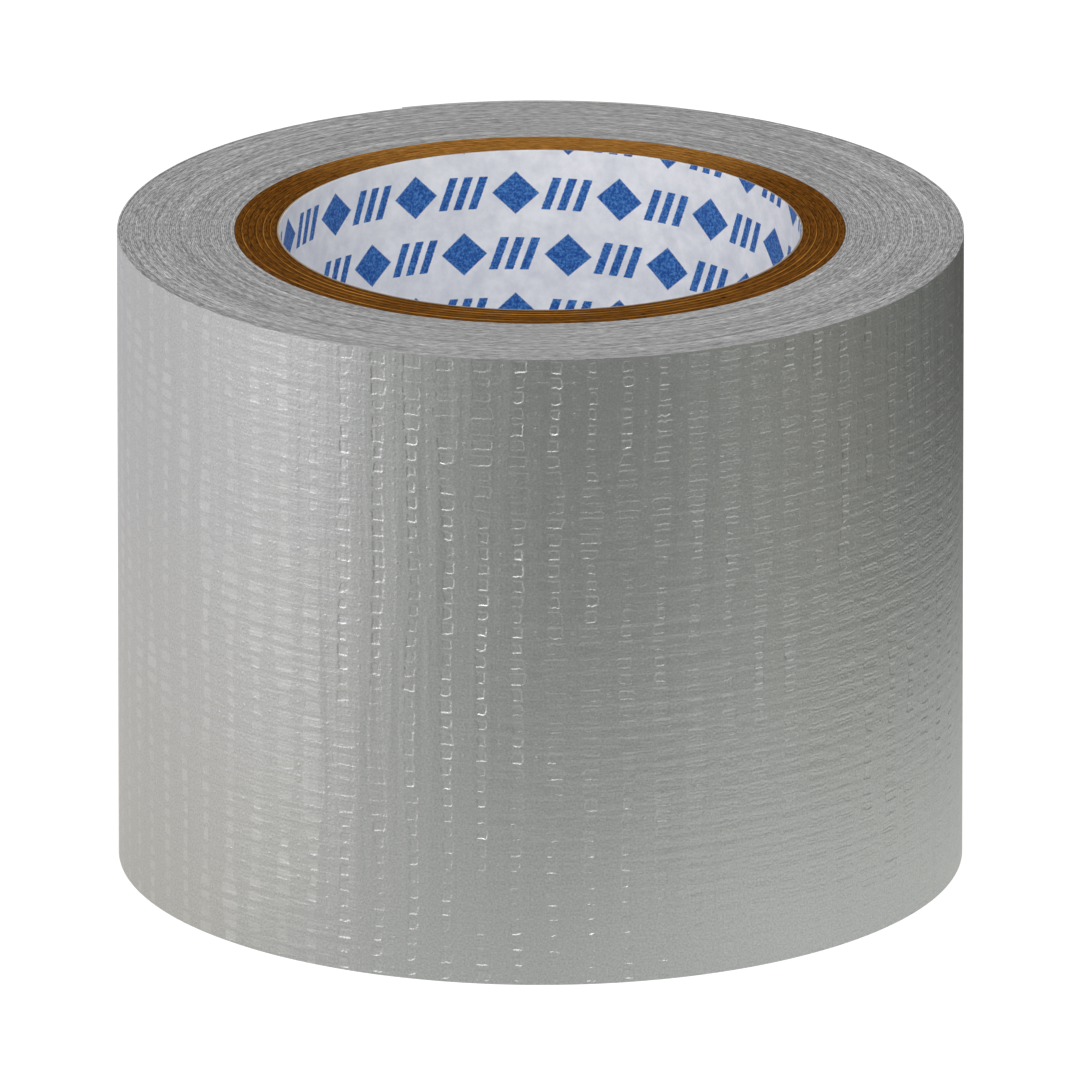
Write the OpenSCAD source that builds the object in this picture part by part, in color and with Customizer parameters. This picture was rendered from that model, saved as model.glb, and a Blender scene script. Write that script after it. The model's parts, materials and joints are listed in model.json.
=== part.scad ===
// Roll of duct tape: one strip of cloth-backed tape wound on a board core.
// The roll stands on an end.  Z runs along the bore, and the origin is on the
// bore's axis in the plane of the lower end.

/* [Core] */
// Bore of the core, a nominal 3 inch one
bore_d = 76.6; // [50:0.1:110]
// Thickness of the printed paper that lines the bore
liner_t = 0.3; // [0.1:0.05:0.6]
// Number of kraft board plies round the liner
ply_count = 6; // [2:1:10]
// Thickness of one kraft ply
ply_t = 1; // [0.4:0.05:2]
// Glue line on the outside of each layer of the core
glue_t = 0.04; // [0.02:0.01:0.1]

/* [Tape] */
// Width of the tape, which is the height of the roll
tape_w = 96; // [24:1:150]
// Full wraps of tape round the core
wraps = 60; // [4:1:80]
// Thickness of the silver polyethylene film
film_t = 0.07; // [0.04:0.01:0.15]
// Thickness of a flattened yarn of the cloth
yarn_t = 0.05; // [0.03:0.01:0.1]
// Thickness of the rubber adhesive
adhesive_t = 0.09; // [0.05:0.01:0.15]
// Air between one wrap and the next, at the slit edges
wrap_gap = 0.025; // [0.02:0.005:0.06]
// Depth of that air; further in, the wraps are stuck to each other
edge_depth = 2; // [0.5:0.5:8]

/* [Cloth] */
// Width of a flattened yarn
yarn_w = 0.5; // [0.2:0.05:1]
// Spacing of the warp yarns, which run along the tape
warp_pitch = 2.4; // [1.5:0.1:6]
// Spacing of the weft yarns, which run across the tape
weft_pitch = 5.3; // [3:0.1:10]

/* [Free end] */
// Length of the end that peels off the roll
end_l = 42; // [15:1:70]
// Air between the lifted end and the wrap below it
peel_gap = 0.1; // [0.08:0.01:0.3]
// Clear gap across the fold where the end hinges
fold_gap = 0.1; // [0.05:0.01:0.3]

/* [Hidden] */
$fn = 96;

// Core layers, from the bore outwards
bore_r = bore_d / 2;
first_ply_r = bore_r + liner_t + glue_t;
ply_pitch = ply_t + glue_t;
core_r = first_ply_r + ply_count * ply_pitch;

// Tape layers, from the sticky side outwards
weft_at = adhesive_t;
warp_at = weft_at + yarn_t;
film_at = warp_at + yarn_t;
tape_t = film_at + film_t;

// The wound strip is a spiral made of half turns, whose radii grow by half a
// wrap.  Their centres lie a quarter of a wrap either side of the bore's axis,
// by turns, so that each half turn runs on from the one before with no step.
wrap_pitch = tape_t + wrap_gap;
half_turn_count = 2 * wraps;
centre_shift = wrap_pitch / 4;
function half_turn_r(k) = core_r + centre_shift + k * wrap_pitch / 2;

// The free end carries the spiral on, lifted by the peel gap.  It is centred
// on +Y, and the winding is turned to end where it starts.
end_r = half_turn_r(half_turn_count) + peel_gap - wrap_gap;
end_angle = degrees(end_l);
root_angle = 90 - end_angle / 2;
function degrees(length) = length / end_r * 180 / PI;

module ring(inner_r, wall) {
    difference() {
        circle(inner_r + wall);
        circle(inner_r);
    }
}

// Layer of the core, as tall as the tape is wide
module tube(inner_r, wall) {
    linear_extrude(tape_w) ring(inner_r, wall);
}

module core_liner() {
    color("ghostwhite") tube(bore_r, liner_t);
}

// Ply i, counted from the bore outwards
module core_ply(i) {
    color("peru") tube(first_ply_r + (i - 1) * ply_pitch, ply_t);
}

// Every second half turn of the winding, from the one of that number on.
// Bonded ones have no air between them.
module half_turns(first, bonded) {
    side = first == 0 ? -1 : 1;
    translate([side * centre_shift, 0])
        rotate(first * 180)
            intersection() {
                if (bonded)
                    ring(half_turn_r(first), (wraps - 1) * wrap_pitch + tape_t);
                else
                    for (k = [first : 2 : half_turn_count - 1])
                        ring(half_turn_r(k), tape_t);
                translate([-end_r, 0]) square([2 * end_r, end_r]);
            }
}

module wound(height, bonded) {
    linear_extrude(height) {
        half_turns(0, bonded);
        half_turns(1, bonded);
    }
}

module tape_winding() {
    color("silver")
        rotate(root_angle) {
            wound(tape_w, false);
            translate([0, 0, edge_depth]) wound(tape_w - 2 * edge_depth, true);
        }
}

// Part of the free end: a band at the given depth of the tape, over lengths
// measured from the fold and heights measured from the lower edge
module band(depth, thickness, from, to, bottom, top) {
    rotate(root_angle)
        translate([-centre_shift, 0])
            rotate(degrees(from))
                rotate_extrude(angle = degrees(to - from))
                    translate([end_r + depth, bottom]) square([thickness, top - bottom]);
}

module free_end_film() {
    color("silver") band(film_at, film_t, fold_gap, end_l, 0, tape_w);
}

module free_end_adhesive() {
    color("gainsboro") band(0, adhesive_t, fold_gap, end_l, 0, tape_w);
}

// Yarns are set out from the middle of the tape, as many as its width holds
module free_end_warp_yarns() {
    count = floor((tape_w - yarn_w) / warp_pitch) + 1;
    first = tape_w / 2 - (count - 1) / 2 * warp_pitch;
    color("white")
        for (i = [0 : count - 1]) {
            z = first + i * warp_pitch;
            band(warp_at, yarn_t, fold_gap, end_l, z - yarn_w / 2, z + yarn_w / 2);
        }
}

// The same across the tape, from the middle of the free end
module free_end_weft_yarns() {
    count = floor((end_l - fold_gap - yarn_w) / weft_pitch) + 1;
    first = (fold_gap + end_l) / 2 - (count - 1) / 2 * weft_pitch;
    color("white")
        for (i = [0 : count - 1]) {
            s = first + i * weft_pitch;
            band(weft_at, yarn_t, s - yarn_w / 2, s + yarn_w / 2, 0, tape_w);
        }
}

core_liner();
for (i = [1 : ply_count])
    core_ply(i);
tape_winding();
free_end_film();
free_end_warp_yarns();
free_end_weft_yarns();
free_end_adhesive();
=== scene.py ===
import json
import math

import bpy
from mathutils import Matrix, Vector


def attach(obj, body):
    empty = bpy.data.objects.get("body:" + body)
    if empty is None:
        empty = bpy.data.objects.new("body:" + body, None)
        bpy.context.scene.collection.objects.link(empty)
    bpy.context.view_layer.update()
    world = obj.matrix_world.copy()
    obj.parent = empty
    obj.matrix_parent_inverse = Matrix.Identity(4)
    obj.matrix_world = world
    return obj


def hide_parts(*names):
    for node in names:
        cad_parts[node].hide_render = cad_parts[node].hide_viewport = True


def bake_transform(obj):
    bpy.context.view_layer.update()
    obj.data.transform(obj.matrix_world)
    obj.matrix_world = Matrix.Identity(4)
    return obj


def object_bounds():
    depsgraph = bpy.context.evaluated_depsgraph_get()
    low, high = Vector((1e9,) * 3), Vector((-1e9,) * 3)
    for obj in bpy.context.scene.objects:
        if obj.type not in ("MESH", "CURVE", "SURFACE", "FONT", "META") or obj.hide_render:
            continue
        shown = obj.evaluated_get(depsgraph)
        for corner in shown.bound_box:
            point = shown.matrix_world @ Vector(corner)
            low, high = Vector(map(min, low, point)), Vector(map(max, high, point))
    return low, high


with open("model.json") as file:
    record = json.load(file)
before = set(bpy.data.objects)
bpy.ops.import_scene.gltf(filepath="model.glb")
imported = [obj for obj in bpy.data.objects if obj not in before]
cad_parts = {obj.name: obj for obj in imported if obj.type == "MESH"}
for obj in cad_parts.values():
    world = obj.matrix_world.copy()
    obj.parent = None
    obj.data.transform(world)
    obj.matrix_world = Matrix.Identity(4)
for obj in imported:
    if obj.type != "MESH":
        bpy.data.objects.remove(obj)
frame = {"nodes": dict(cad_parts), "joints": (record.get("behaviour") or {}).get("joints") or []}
cad_low, cad_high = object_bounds()
MM = 0.001

# --- Camera -----------------------------------------------------------------
# A long lens looks down on the roll from far off, so its two ends keep nearly
# the same width.  It aims at the middle of the bore's axis.

roll_height = cad_high[2]
aim = Vector((0, 0, roll_height / 2))
lens, sensor_width = 1500, 36
view_width = 158.8 * MM
view_elevation = math.radians(18.2)

camera_data = bpy.data.cameras.new("camera")
camera_data.lens, camera_data.sensor_width = lens, sensor_width
camera_data.clip_end = 50
camera = bpy.data.objects.new("camera", camera_data)
bpy.context.collection.objects.link(camera)
towards_camera = Vector((0, -math.cos(view_elevation), math.sin(view_elevation)))
camera.location = aim + towards_camera * (view_width * lens / sensor_width)
camera.rotation_euler = towards_camera.to_track_quat("Z", "Y").to_euler()
bpy.context.scene.camera = camera
bpy.context.scene.view_settings.view_transform = "Standard"


# --- Floor and lights -------------------------------------------------------
# A white table under studio softboxes: a large key on the left, a weaker fill
# on the right and soft lights overhead.  For reflected rays only, the floor
# glows with a painted reflection: the table falls away to a darker room in
# front, with a white card at its left, and the film mirrors both as painted
# light and shade.

def socket(sockets, key):
    """A socket in use, by its name or by its place among those in use."""
    shown = [s for s in sockets if s.enabled]
    return shown[key] if isinstance(key, int) else next(s for s in shown if s.name == key)


def add(tree, kind, inputs=None, **settings):
    """A node of that kind; its inputs are values, or the nodes and sockets that feed them."""
    node = tree.nodes.new(kind)
    for name, value in settings.items():
        setattr(node, name, value)
    for key, value in (inputs or {}).items():
        if isinstance(value, bpy.types.Node):
            value = socket(value.outputs, 0)
        if isinstance(value, bpy.types.NodeSocket):
            tree.links.new(value, socket(node.inputs, key))
        else:
            socket(node.inputs, key).default_value = value
    return node


def linear(hex_colour):
    """A colour written as sRGB hex, as linear red, green, blue and alpha."""
    channels = [int(hex_colour[i:i + 2], 16) / 255 for i in (1, 3, 5)]
    return [c / 12.92 if c < 0.04045 else ((c + 0.055) / 1.055) ** 2.4 for c in channels] + [1]


def node_tree(owner):
    """The owner's emptied node tree and its new output node."""
    owner.use_nodes = True
    tree = owner.node_tree
    tree.nodes.clear()
    kind = "World" if isinstance(owner, bpy.types.World) else "Material"
    return tree, add(tree, f"ShaderNodeOutput{kind}")


def mesh_object(name, vertices, faces):
    mesh = bpy.data.meshes.new(name)
    mesh.from_pydata(vertices, [], faces)
    obj = bpy.data.objects.new(name, mesh)
    bpy.context.collection.objects.link(obj)
    return obj


def set_ramp(ramp, stops):
    """Gives a colour ramp these stops, each a position and a colour written as hex."""
    elements = ramp.color_ramp.elements
    for element, (position, shade) in zip(elements, (stops[0], stops[-1])):
        element.position, element.color = position, linear(shade)
    for position, shade in stops[1:-1]:
        elements.new(position).color = linear(shade)


floor_half = 3.0
floor_z = -0.05 * MM
table_ends, room_starts = 0.07, 0.30
floor = mesh_object(
    "floor",
    [(x * floor_half, y * floor_half, floor_z) for x, y in ((-1, -1), (1, -1), (1, 1), (-1, 1))],
    [(0, 1, 2, 3)],
)
floor_paint = bpy.data.materials.new("white_table_and_painted_reflection")
tree, output = node_tree(floor_paint)
rays = add(tree, "ShaderNodeLightPath")
place = add(tree, "ShaderNodeSeparateXYZ", {0: add(tree, "ShaderNodeTexCoord").outputs["Object"]})
reach = add(tree, "ShaderNodeVectorMath", {0: add(tree, "ShaderNodeTexCoord").outputs["Object"]},
            operation="LENGTH")
away = add(tree, "ShaderNodeMapRange",
           {"Value": reach.outputs["Value"], "From Min": table_ends, "From Max": room_starts},
           interpolation_type="SMOOTHSTEP")
# once round the roll, from behind it by the left to the front and the right
bearing = add(tree, "ShaderNodeMath", {
    0: add(tree, "ShaderNodeMath", {
        0: place.outputs["X"], 1: add(tree, "ShaderNodeMath", {0: place.outputs["Y"], 1: -1.0},
                                      operation="MULTIPLY")}, operation="ARCTAN2"),
    1: 1 / (2 * math.pi), 2: 0.5}, operation="MULTIPLY_ADD")
painted_room = add(tree, "ShaderNodeValToRGB", {0: bearing})
painted_table = add(tree, "ShaderNodeValToRGB", {0: bearing})
# painted reflection: by bearing round the roll, a white table near it and beyond it a darker room with a white
# card at its left, seen only in the film
for ramp, shades in (
        (painted_room, ((-180, "#c9c7cc"), (-66, "#dfdce1"), (-56, "#cdcdd0"), (-30, "#888b88"), (0, "#262a29"),
                (20, "#303331"), (45, "#5e6059"), (70, "#605f55"), (110, "#474942"), (180, "#262726"))),
        (painted_table, ((-180, "#dcd6d2"), (-60, "#cdc9c4"), (-30, "#b6b6b5"), (0, "#b0b2b0"), (40, "#cecfcd"),
                 (80, "#d0d1ce"), (180, "#b0b1b0")))):
    set_ramp(ramp, [(degrees / 360 + 0.5, shade) for degrees, shade in shades])
painted_reflection = add(tree, "ShaderNodeMix", {"Factor": away, "A": painted_table, "B": painted_room}, data_type="RGBA")
seen = add(tree, "ShaderNodeAddShader", {
    0: add(tree, "ShaderNodeEmission", {"Color": linear("#ffffff"), "Strength": 0.86}),
    1: add(tree, "ShaderNodeBsdfDiffuse", {"Color": linear("#8c8c8c")}),
})
lit = add(tree, "ShaderNodeBsdfDiffuse", {"Color": linear("#e6e6e6")})
# reflected rays see the floor glow with the painted reflection, and other rays see it lit and white
glossy = add(tree, "ShaderNodeMixShader", {
    0: rays.outputs["Is Glossy Ray"], 1: lit, 2: add(tree, "ShaderNodeEmission", {"Color": painted_reflection})})
surface = add(tree, "ShaderNodeMixShader", {0: rays.outputs["Is Camera Ray"], 1: glossy, 2: seen})
tree.links.new(surface.outputs[0], output.inputs["Surface"])
floor.data.materials.append(floor_paint)

world = bpy.data.worlds.new("studio")
bpy.context.scene.world = world
tree, output = node_tree(world)
room_light = add(tree, "ShaderNodeBackground", {"Color": linear("#ffffff"), "Strength": 0.28})
backdrop = add(tree, "ShaderNodeBackground", {"Color": linear("#ffffff"), "Strength": 1.0})
seen = add(tree, "ShaderNodeMixShader", {
    0: add(tree, "ShaderNodeLightPath").outputs["Is Camera Ray"], 1: room_light, 2: backdrop})
tree.links.new(seen.outputs[0], output.inputs["Surface"])


def softbox(name, place, size, watts, colour="#ffffff"):
    """A square lamp that faces the roll."""
    light = bpy.data.lights.new(name, "AREA")
    light.size, light.energy, light.color = size, watts, linear(colour)[:3]
    lamp = bpy.data.objects.new(name, light)
    bpy.context.collection.objects.link(lamp)
    lamp.location = place
    lamp.rotation_euler = (Vector(place) - aim).to_track_quat("Z", "Y").to_euler()


softbox("key", (-1.25, -0.45, 0.42), 0.9, 4.5, "#fffaff")
softbox("fill", (1.1, -0.6, 0.5), 0.8, 1.0)
softbox("front", (-0.20, -1.00, 1.00), 1.4, 7.0)
softbox("overhead", (0.05, -0.45, 1.25), 1.1, 12.0)


# --- Core plies -------------------------------------------------------------
# Six plies of unbleached kraft board, each a strip wound in a helix and glued
# to the one inside it.  The cut ends show each ply as a brown ring whose edge
# is a thin paler line of dry paper.

def new_tree(name, *inputs):
    """A geometry tree, and a node that gives its inputs, each named with its default value."""
    kinds = {bool: "Bool", int: "Int", float: "Float", tuple: "Vector"}
    tree = bpy.data.node_groups.new(name, "GeometryNodeTree")
    for label, value in inputs:
        made = tree.interface.new_socket(name=label, in_out="INPUT",
                                         socket_type=f"NodeSocket{kinds[type(value)]}")
        made.default_value = value
    tree.interface.new_socket(name="Mesh", in_out="OUTPUT", socket_type="NodeSocketGeometry")
    return tree, add(tree, "NodeGroupInput").outputs


def finish_tree(tree, shape, material):
    """Ends a tree: real geometry, one material, smooth faces."""
    real = add(tree, "GeometryNodeRealizeInstances", {0: shape})
    smooth = add(tree, "GeometryNodeSetShadeSmooth", {0: real})
    painted = add(tree, "GeometryNodeSetMaterial", {"Geometry": smooth, "Material": material})
    add(tree, "NodeGroupOutput", {0: painted})


def grow(name, tree, slot, body, *replaced, crease=40, **sizes):
    """Runs a tree with these sizes and keeps what it makes as one plain mesh."""
    obj = bpy.data.objects.new(name, bpy.data.meshes.new(name))
    bpy.context.collection.objects.link(obj)
    modifier = obj.modifiers.new("make", "NODES")
    modifier.node_group = tree
    for item in tree.interface.items_tree:
        if item.in_out == "INPUT" and item.name in sizes:
            modifier[item.identifier] = sizes[item.name]
    graph = bpy.context.evaluated_depsgraph_get()
    mesh = bpy.data.meshes.new_from_object(obj.evaluated_get(graph))
    obj.modifiers.clear()
    obj.data = mesh
    mesh.set_sharp_from_angle(angle=math.radians(crease))
    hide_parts(*replaced)
    if body:
        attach(obj, body)
    return obj


def off_axis(tree, at):
    """The X and Y of a separated point as a flat vector, and how far it lies from the axis."""
    flat = add(tree, "ShaderNodeCombineXYZ", {"X": at.outputs["X"], "Y": at.outputs["Y"]})
    return flat, add(tree, "ShaderNodeVectorMath", {0: flat}, operation="LENGTH").outputs["Value"]


def round_rings(tree, flat, radius, turn_scale, wall):
    """Coordinates drawn out round the axis, with one unit of Z to each wall of this thickness."""
    heading = add(tree, "ShaderNodeVectorMath", {0: flat}, operation="NORMALIZE")
    layer = add(tree, "ShaderNodeMath", {0: radius, 1: 1 / wall}, operation="MULTIPLY")
    return add(tree, "ShaderNodeVectorMath", {
        0: add(tree, "ShaderNodeVectorMath", {0: heading, "Scale": turn_scale}, operation="SCALE"),
        1: add(tree, "ShaderNodeCombineXYZ", {"Z": layer})}, operation="ADD")


bore_radius = 38.3 * MM
liner_wall, ply_wall, glue_line = 0.3 * MM, 1.0 * MM, 0.04 * MM
first_ply_radius = bore_radius + liner_wall + glue_line
ply_pitch = ply_wall + glue_line
ply_nodes = sorted(n for n in frame["nodes"] if n.startswith("core_ply_"))
core_radius = first_ply_radius + len(ply_nodes) * ply_pitch

# one layer of the core: a tube whose cut ends are a little fuzzy
layer_tree, given = new_tree(
    "core_layer", ("Inner radius", 0.04), ("Wall", ply_wall), ("Height", 0.1), ("Rounding", 0.08 * MM),
    ("Fuzz", 0.05 * MM), ("Pale edge", 1.0), ("Seed", 0.0))
middle = add(layer_tree, "ShaderNodeMath", {0: given["Wall"], 1: 0.5, 2: given["Inner radius"]},
             operation="MULTIPLY_ADD")
path = add(layer_tree, "GeometryNodeCurvePrimitiveCircle", {"Resolution": 360, "Radius": middle})
path = add(layer_tree, "GeometryNodeSetCurveNormal", {"Curve": path}, mode="Z_UP")
section = add(layer_tree, "GeometryNodeCurvePrimitiveQuadrilateral",
              {"Width": given["Wall"], "Height": given["Height"]})
section = add(layer_tree, "GeometryNodeFilletCurve", {"Curve": section, "Radius": given["Rounding"]},
              mode="BEZIER")
section = add(layer_tree, "GeometryNodeResampleCurve", {"Curve": section}, mode="EVALUATED")
tube = add(layer_tree, "GeometryNodeCurveToMesh", {"Curve": path, "Profile Curve": section})
half_height = add(layer_tree, "ShaderNodeMath", {0: given["Height"], 1: 0.5}, operation="MULTIPLY")
at = add(layer_tree, "ShaderNodeSeparateXYZ", {0: add(layer_tree, "GeometryNodeInputPosition")})
# 1 on the ends and 0 down the walls
near_end = add(layer_tree, "ShaderNodeMath", {
    0: add(layer_tree, "ShaderNodeMath", {0: at.outputs["Z"]}, operation="ABSOLUTE"),
    1: add(layer_tree, "ShaderNodeMath", {0: half_height, 1: given["Rounding"]}, operation="SUBTRACT")},
    operation="GREATER_THAN")
fibres = add(layer_tree, "ShaderNodeTexNoise", {"W": given["Seed"], "Scale": 900.0, "Detail": 2.0},
             noise_dimensions="4D")
inwards = add(layer_tree, "ShaderNodeMath", {
    0: add(layer_tree, "ShaderNodeMath", {0: at.outputs["Z"]}, operation="SIGN"), 1: -1.0},
    operation="MULTIPLY")
sunk = add(layer_tree, "ShaderNodeMath", {
    0: add(layer_tree, "ShaderNodeMath", {0: fibres, 1: given["Fuzz"]}, operation="MULTIPLY"),
    1: add(layer_tree, "ShaderNodeMath", {0: near_end, 1: inwards}, operation="MULTIPLY")},
    operation="MULTIPLY")
fuzzed = add(layer_tree, "GeometryNodeSetPosition",
             {"Geometry": tube, "Offset": add(layer_tree, "ShaderNodeCombineXYZ", {"Z": sunk})})
stood = add(layer_tree, "GeometryNodeTransform", {
    "Geometry": fuzzed, "Translation": add(layer_tree, "ShaderNodeCombineXYZ", {"Z": half_height})})
flat, radius = off_axis(layer_tree, at)
across = add(layer_tree, "ShaderNodeMath", {
    0: add(layer_tree, "ShaderNodeMath", {0: radius, 1: given["Inner radius"]}, operation="SUBTRACT"),
    1: given["Wall"]}, operation="DIVIDE")
marked = add(layer_tree, "GeometryNodeStoreNamedAttribute",
             {"Geometry": stood, "Name": "across", "Value": across}, data_type="FLOAT", domain="POINT")
marked = add(layer_tree, "GeometryNodeStoreNamedAttribute",
             {"Geometry": marked, "Name": "pale_edge", "Value": given["Pale edge"]},
             data_type="FLOAT", domain="POINT")

# Kraft board: unbleached brown pulp, calendered and cut with a knife.  Matt and
# dark, streaked along the cut, each ply's edge leaning inwards off the blade.
kraft = bpy.data.materials.new("kraft_board")
tree, output = node_tree(kraft)
coords = add(tree, "ShaderNodeTexCoord").outputs["Object"]
at = add(tree, "ShaderNodeSeparateXYZ", {0: coords})
flat, radius = off_axis(tree, at)
# bundles of fibre, drawn out round the ring by the knife
grain = round_rings(tree, flat, radius, 24.0, 0.2 * MM)
pulp = add(tree, "ShaderNodeTexNoise", {"Vector": grain, "Scale": 1.0, "Detail": 5.0, "Roughness": 0.68})
brown = add(tree, "ShaderNodeValToRGB", {0: pulp})
set_ramp(brown, ((0.36, "#2f1903"), (0.64, "#774813")))
bark = add(tree, "ShaderNodeTexVoronoi", {"Vector": coords, "Scale": 330.0, "Randomness": 1.0})
speck = add(tree, "ShaderNodeMapRange", {"Value": bark.outputs["Distance"], "From Min": 0.10, "From Max": 0.18,
                                         "To Min": 1.0, "To Max": 0.0})
some = add(tree, "ShaderNodeMath", {
    0: add(tree, "ShaderNodeSeparateColor", {0: bark.outputs["Color"]}), 1: 0.82}, operation="GREATER_THAN")
specked = add(tree, "ShaderNodeMix", {
    "Factor": add(tree, "ShaderNodeMath", {0: speck, 1: some}, operation="MULTIPLY"),
    "A": brown, "B": linear("#1f1204")}, data_type="RGBA")
across = add(tree, "ShaderNodeAttribute", attribute_name="across").outputs["Fac"]
outer_edge = add(tree, "ShaderNodeMapRange", {"Value": across, "From Min": 0.86, "From Max": 0.91},
                 interpolation_type="SMOOTHSTEP")
worn = add(tree, "ShaderNodeMapRange", {
    "Value": add(tree, "ShaderNodeTexNoise", {"Vector": coords, "Scale": 120.0, "Detail": 4.0}),
    "From Min": 0.38, "From Max": 0.62, "To Min": 0.35, "To Max": 1.0})
pale = add(tree, "ShaderNodeMath", {
    0: add(tree, "ShaderNodeMath", {0: outer_edge, 1: worn}, operation="MULTIPLY"),
    1: add(tree, "ShaderNodeAttribute", attribute_name="pale_edge").outputs["Fac"]}, operation="MULTIPLY")
inner_edge = add(tree, "ShaderNodeMapRange", {"Value": across, "From Min": 0.04, "From Max": 0.20,
                                              "To Min": 0.45, "To Max": 0.0})
shaded = add(tree, "ShaderNodeMix", {"Factor": inner_edge, "A": specked, "B": linear("#2c1a05")},
             data_type="RGBA")
board = add(tree, "ShaderNodeMix", {"Factor": pale, "A": shaded, "B": linear("#ad7831")}, data_type="RGBA")
# painted light: towards the back (+Y) the board is mixed into a paler, more golden copy of itself, standing in
# for light falling more strongly there
painted_light_back = add(tree, "ShaderNodeMapRange", {"Value": at.outputs["Y"], "From Min": 20 * MM, "From Max": 42 * MM,
                                          "To Min": 0.0, "To Max": 0.5}, interpolation_type="SMOOTHSTEP")
painted_lit_board = add(tree, "ShaderNodeMix", {
    "Factor": add(tree, "ShaderNodeMapRange", {"Value": pulp, "From Min": 0.36, "From Max": 0.64}),
    "A": linear("#774813"), "B": linear("#cb944b")}, data_type="RGBA")
painted_lit_board = add(tree, "ShaderNodeMix", {"Factor": inner_edge, "A": painted_lit_board, "B": linear("#5a3810")}, data_type="RGBA")
board = add(tree, "ShaderNodeMix", {"Factor": painted_light_back, "A": board, "B": painted_lit_board}, data_type="RGBA")
leaning = add(tree, "ShaderNodeBump", {"Height": across, "Distance": 0.28 * MM, "Strength": 1.0})
fuzz = add(tree, "ShaderNodeBump", {"Height": pulp, "Distance": 0.10 * MM, "Strength": 0.8, "Normal": leaning})
paper = add(tree, "ShaderNodeBsdfPrincipled", {
    "Base Color": board, "Roughness": 0.9, "Specular IOR Level": 0.04, "Normal": fuzz})
tree.links.new(paper.outputs[0], output.inputs["Surface"])
finish_tree(layer_tree, marked, kraft)

# how strongly the pale edge of each ply shows, from the bore outwards
pale_edges = [0.6, 1.0, 0.6, 0.25, 1.0, 0.0]
for number, (node, pale_edge) in enumerate(zip(ply_nodes, pale_edges)):
    grow(node + "_board", layer_tree, "core_ply", "roll", node, **{
        "Inner radius": first_ply_radius + number * ply_pitch, "Wall": ply_wall, "Height": roll_height,
        "Pale edge": pale_edge, "Seed": float(number)})


# --- Core liner -------------------------------------------------------------
# Thin white paper printed in blue, wound as the innermost strip of the core,
# so its rows of print climb round the bore.

# White clay-coated paper with one flat blue ink: smooth, faintly glossy, the
# ink slightly mottled.  The print repeats without a join round the bore.
print_row = 9.4 * MM
prints_round = 15.5
print_cell = 2 * math.pi * bore_radius / prints_round
lozenge_left_by, lozenge_half_width, lozenge_half_height = 3.6, 3.5, 3.3
bars_at, bar_spacing, bar_slant, bar_half_height = 4.0, 2.3, 0.35, 2.5
printed = bpy.data.materials.new("printed_paper")
tree, output = node_tree(printed)
coords = add(tree, "ShaderNodeTexCoord").outputs["Object"]
at = add(tree, "ShaderNodeSeparateXYZ", {0: coords})
turn = add(tree, "ShaderNodeMath", {
    0: add(tree, "ShaderNodeMath", {0: at.outputs["X"], 1: at.outputs["Y"]}, operation="ARCTAN2"),
    1: 1 / (2 * math.pi)}, operation="MULTIPLY")
rows = add(tree, "ShaderNodeMath", {
    0: add(tree, "ShaderNodeMath", {0: at.outputs["Z"], 1: 1 / print_row}, operation="MULTIPLY"),
    1: turn}, operation="ADD")
row = add(tree, "ShaderNodeMath", {0: rows}, operation="FLOOR")
up = add(tree, "ShaderNodeMath", {
    0: add(tree, "ShaderNodeMath", {0: add(tree, "ShaderNodeMath", {0: rows}, operation="FRACT"), 1: 0.5},
           operation="SUBTRACT"),
    1: print_row / MM}, operation="MULTIPLY")
cells = add(tree, "ShaderNodeMath", {
    0: add(tree, "ShaderNodeMath", {0: turn, 1: prints_round}, operation="MULTIPLY"),
    1: add(tree, "ShaderNodeMath", {0: row, 1: 0.5}, operation="MULTIPLY")}, operation="ADD")
along = add(tree, "ShaderNodeMath", {
    0: add(tree, "ShaderNodeMath", {0: add(tree, "ShaderNodeMath", {0: cells}, operation="FRACT"), 1: 0.5},
           operation="SUBTRACT"),
    1: print_cell / MM}, operation="MULTIPLY")
bleed = add(tree, "ShaderNodeMath", {
    0: add(tree, "ShaderNodeTexNoise", {"Vector": coords, "Scale": 4200.0, "Detail": 2.0}), 1: 0.5},
    operation="SUBTRACT")
height_off = add(tree, "ShaderNodeMath", {0: up}, operation="ABSOLUTE")
# a lozenge, in millimetres, to the left of the middle of its cell
lozenge = add(tree, "ShaderNodeMath", {
    0: add(tree, "ShaderNodeMath", {
        0: add(tree, "ShaderNodeMath", {
            0: add(tree, "ShaderNodeMath", {0: along, 1: lozenge_left_by}, operation="ADD")},
            operation="ABSOLUTE"), 1: lozenge_half_width}, operation="DIVIDE"),
    1: add(tree, "ShaderNodeMath", {0: height_off, 1: lozenge_half_height}, operation="DIVIDE")},
    operation="ADD")
lozenge = add(tree, "ShaderNodeMapRange", {
    "Value": add(tree, "ShaderNodeMath", {0: bleed, 1: 0.06, 2: lozenge}, operation="MULTIPLY_ADD"),
    "From Min": 0.97, "From Max": 1.03, "To Min": 1.0, "To Max": 0.0})
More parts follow.
